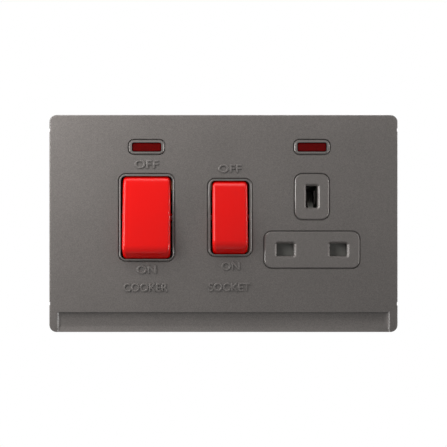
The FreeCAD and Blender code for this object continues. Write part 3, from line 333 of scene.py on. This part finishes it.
flake_paint = flake_paint_group()
cover_paint = finish_from(
    "cover_paint", flake_paint,
    {"Color": (0.105, 0.095, 0.089, 1.0), "Flake Scale": 5200.0, "Flake Spread": 0.20, "Drift": 0.10,
     "Roughness": 0.34, "Flake Gloss": 0.16, "Peel Scale": 1500.0},
    bump=0.22, depth=0.05, Metallic=0.08, Specular_IOR_Level=0.10,
    Coat_Weight=0.55, Coat_Roughness=0.18)
dress(cover_paint, "cover_plate")
insert_paint = finish_from(
    "insert_paint", flake_paint,
    {"Color": (0.112, 0.102, 0.096, 1.0), "Flake Scale": 5200.0, "Flake Spread": 0.16, "Drift": 0.06,
     "Roughness": 0.36, "Flake Gloss": 0.12, "Peel Scale": 1700.0},
    bump=0.14, depth=0.04, Metallic=0.45, Specular_IOR_Level=0.15,
    Coat_Weight=0.40, Coat_Roughness=0.18)
dress(insert_paint, "front_insert")

# Rockers: two hollow keys of bright red urea moulding, polished in the mould, so that only a slow
# waviness breaks the gloss. Each hangs on its own moulded axles behind the insert.
rocker_red = finish_from(
    "rocker_red", moulded_skin,
    {"Color": (0.61, 0.001, 0.0, 1.0), "Clouding": 0.04, "Cloud Scale": 70.0,
     "Roughness": 0.14, "Gloss Spread": 0.08, "Grain Scale": 900.0},
    bump=0.05, depth=0.03, Specular_IOR_Level=0.20)
dress(rocker_red, "cooker_rocker", "socket_rocker")

# Neon lenses and lamps: windows of dark red acrylic pressed in from behind, and under each a small
# glass neon lamp whose gas is dark while the switch is off.
lens_red = finish_from(
    "lens_red", moulded_skin,
    {"Color": (0.09, 0.0, 0.0, 1.0), "Clouding": 0.28, "Cloud Scale": 320.0,
     "Roughness": 0.12, "Gloss Spread": 0.08, "Grain Scale": 700.0},
    bump=0.05, depth=0.03, IOR=1.49, Transmission_Weight=0.08, Specular_IOR_Level=0.02)
dress(lens_red, "cooker_neon_lens", "socket_neon_lens")
lamp_glass = finish_from(
    "lamp_glass", moulded_skin,
    {"Color": (0.92, 0.80, 0.72, 1.0), "Clouding": 0.05, "Cloud Scale": 300.0,
     "Roughness": 0.06, "Gloss Spread": 0.06, "Grain Scale": 800.0},
    bump=0.05, depth=0.02, IOR=1.5, Transmission_Weight=0.85)
dress(lamp_glass, "cooker_neon_lamp", "socket_neon_lamp")

# Legends: plain words raised on the cover. They take the insert's smoother lacquer, which keeps the
# small strokes clear, and their edges are rounded, so each stroke catches the light along its sides.
LETTER_HEIGHT = 3.3 * METRES_PER_MM
LETTER_RISE = 0.45 * METRES_PER_MM
LETTER_EDGE = 0.14 * METRES_PER_MM
LETTER_INSET = 0.02 * METRES_PER_MM
LETTER_CURVE_STEPS = 6
LETTER_EDGE_STEPS = 2
plate_low, plate_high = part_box("cover_plate")
plate_front = plate_low.y


def middle_of(node):
    """Middle of a CAD node's box."""
    low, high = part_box(node)
    return (low + high) / 2


def raised_word(name, word, x, z, width):
    """A word in plain capitals, made a mesh, fitted to its height and width and stood on the cover.
    A letter point (u, v, w) goes to (x + u, front - w, z + v)."""
    drawing = bpy.data.curves.new(name, "FONT")
    drawing.body = word
    drawing.resolution_u = LETTER_CURVE_STEPS
    writer = bpy.data.objects.new(name, drawing)
    bpy.context.scene.collection.objects.link(writer)
    bpy.context.view_layer.update()
    outline = np.array([tuple(corner) for corner in writer.bound_box])
    low = outline.min(axis=0)
    high = outline.max(axis=0)
    grow = LETTER_HEIGHT / (high[1] - low[1])
    stretch = width / ((high[0] - low[0]) * grow)
    drawing.bevel_depth = LETTER_EDGE / grow
    drawing.bevel_resolution = LETTER_EDGE_STEPS
    drawing.extrude = (LETTER_RISE - LETTER_EDGE) / grow
    drawing.offset = -LETTER_INSET / grow
    bpy.context.view_layer.update()
    mesh = bpy.data.meshes.new_from_object(writer.evaluated_get(bpy.context.evaluated_depsgraph_get()))
    bpy.data.objects.remove(writer)
    points = np.empty(len(mesh.vertices) * 3)
    mesh.vertices.foreach_get("co", points)
    points = points.reshape(-1, 3)
    middle = (low + high) / 2
    placed = np.column_stack((
        x + (points[:, 0] - middle[0]) * grow * stretch,
        plate_front - points[:, 2] * grow,
        z + (points[:, 1] - middle[1]) * grow))
    mesh.vertices.foreach_set("co", placed.ravel())
    mesh.name = name
    mesh.materials.clear()
    mesh.materials.append(insert_paint)
    legend = bpy.data.objects.new(name, mesh)
    bpy.context.scene.collection.objects.link(legend)
    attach(legend, "unit")


cooker_x = middle_of("cooker_rocker").x
socket_x = middle_of("socket_rocker").x
# Each row has a rocker's middle line, and in mm the shift to its right, the height and the width.
for name, word, x, shift, height, width in (
        ("cooker_off_legend", "OFF", cooker_x, 0.0, 22.3, 9.8),
        ("cooker_on_legend", "ON", cooker_x, 0.0, -21.8, 8.0),
        ("cooker_legend", "COOKER", cooker_x, -0.4, -29.3, 18.3),
        ("socket_off_legend", "OFF", socket_x, 0.0, 20.5, 9.5),
        ("socket_on_legend", "ON", socket_x, 0.3, -20.3, 7.4),
        ("socket_legend", "SOCKET", socket_x, -0.3, -29.1, 17.2)):
    raised_word(name, word, x + shift * METRES_PER_MM, height * METRES_PER_MM, width * METRES_PER_MM)

# Stage: a floor of pale matt paper well below the unit, soft lamps and a white surround. To the camera,
# in reflections and through clear bodies the paper also glows, more so towards its edge, so that it
# passes into the surround and still takes the unit's shadow.
FLOOR_LEVEL = -0.40
FLOOR_REACH = 1.20
FLOOR_LINES = 9
FLOOR_GLOW = 0.25
SURROUND_FILL = 0.03
WHITE = (1.0, 1.0, 1.0, 1.0)


def floor_mesh():
    """A flat square grid at the floor's level, from -reach to +reach both ways."""
    steps = np.linspace(-FLOOR_REACH, FLOOR_REACH, FLOOR_LINES)
    across, along = np.meshgrid(steps, steps)
    points = np.column_stack((across.ravel(), along.ravel(), np.full(across.size, FLOOR_LEVEL)))
    cell = np.arange(FLOOR_LINES - 1)
    first = (cell[:, None] * FLOOR_LINES + cell).ravel()
    faces = np.column_stack((first, first + 1, first + FLOOR_LINES + 1, first + FLOOR_LINES))
    mesh = bpy.data.meshes.new("floor")
    mesh.from_pydata(points.tolist(), [], faces.tolist())
    return mesh


def seen_directly(tree):
    """1 for rays from the camera, a reflection or a clear body, and 0 for rays that only light."""
    path = add(tree, "ShaderNodeLightPath")
    seen = path.outputs["Is Camera Ray"]
    for way in ("Is Glossy Ray", "Is Transmission Ray"):
        either = add(tree, "ShaderNodeMath", {0: seen, 1: path.outputs[way]}, operation="MAXIMUM")
        seen = either.outputs[0]
    return seen


floor = bpy.data.objects.new("floor", floor_mesh())
bpy.context.scene.collection.objects.link(floor)
floor_paper = finish_from(
    "floor_paper", moulded_skin,
    {"Color": (0.86, 0.86, 0.86, 1.0), "Clouding": 0.02, "Cloud Scale": 4.0,
     "Roughness": 0.85, "Gloss Spread": 0.05, "Grain Scale": 900.0},
    bump=0.05, depth=0.05, Emission_Color=WHITE)
paper = floor_paper.node_tree
spot = add(paper, "ShaderNodeTexCoord").outputs["Object"]
distance = add(paper, "ShaderNodeVectorMath", {0: spot}, operation="LENGTH")
fade = add(paper, "ShaderNodeMapRange", {
    "Value": distance.outputs["Value"], "From Min": abs(FLOOR_LEVEL), "From Max": FLOOR_REACH,
    "To Min": FLOOR_GLOW, "To Max": 1.0})
glow = add(paper, "ShaderNodeMath",
           {0: fade.outputs["Result"], 1: seen_directly(paper)}, operation="MULTIPLY")
paper.links.new(glow.outputs[0], paper.nodes["Principled BSDF"].inputs["Emission Strength"])
floor.data.materials.append(floor_paper)

plate_centre = Vector(((plate_low.x + plate_high.x) / 2, plate_front, (plate_low.z + plate_high.z) / 2))


def soft_lamp(name, place, width, height, watts):
    """A rectangular lamp, in metres and watts, that faces the middle of the plate from its place."""
    light = bpy.data.lights.new(name, "AREA")
    light.shape = "RECTANGLE"
    light.size = width
    light.size_y = height
    light.energy = watts
    lamp = bpy.data.objects.new(name, light)
    bpy.context.scene.collection.objects.link(lamp)
    lamp.location = place
    lamp.rotation_euler = (plate_centre - Vector(place)).to_track_quat("-Z", "Y").to_euler()
    lamp.visible_camera = False


soft_lamp("left_lamp", (-0.10, -0.05, 0.05), 0.02, 0.20, 0.092)
soft_lamp("far_left_lamp", (-0.40, -0.05, 0.02), 0.03, 0.40, 0.70)
soft_lamp("top_lamp", (0.0, -0.10, 0.14), 0.25, 0.06, 0.18)
soft_lamp("right_lamp", (0.40, -0.05, 0.02), 0.03, 0.40, 0.90)
soft_lamp("front_lamp", (0.05, -0.32, 0.36), 0.30, 0.30, 0.25)
soft_lamp("left_front_lamp", (-0.30, -0.30, 0.14), 0.24, 0.20, 1.06)
soft_lamp("back_lamp", (0.25, 0.60, 0.18), 0.40, 0.40, 3.6)

world = bpy.data.worlds.new("surround")
bpy.context.scene.world = world
world.use_nodes = True
sky = world.node_tree
sky.nodes.clear()
fill = add(sky, "ShaderNodeBackground", {"Color": WHITE, "Strength": SURROUND_FILL})
white = add(sky, "ShaderNodeBackground", {"Color": WHITE, "Strength": 1.0})
mixed = add(sky, "ShaderNodeMixShader", {0: seen_directly(sky), 1: fill.outputs[0], 2: white.outputs[0]})
add(sky, "ShaderNodeOutputWorld", {"Surface": mixed.outputs[0]})

# Camera: level with the plate and a little left of its middle, as the photograph was taken. The lens
# is shifted so that the plate stays centred, and the plate spans its share of the picture's width.
PHOTO_WIDTH = 447
PLATE_PIXELS = 348.6
CAMERA_DISTANCE = 0.40
CAMERA_LEFT = 0.009
field = (plate_high.x - plate_low.x) * PHOTO_WIDTH / PLATE_PIXELS
lens = bpy.data.cameras.new("camera")
lens.sensor_fit = "HORIZONTAL"
lens.sensor_width = 36.0
lens.lens = lens.sensor_width * CAMERA_DISTANCE / field
lens.shift_x = CAMERA_LEFT / field
lens.clip_start = 0.01
lens.clip_end = 10.0
camera = bpy.data.objects.new("camera", lens)
bpy.context.scene.collection.objects.link(camera)
camera.location = plate_centre + Vector((-CAMERA_LEFT, -CAMERA_DISTANCE, 0.0))
camera.rotation_euler = (math.radians(90.0), 0.0, 0.0)
bpy.context.scene.camera = camera
bpy.context.scene.view_settings.view_transform = "Standard"
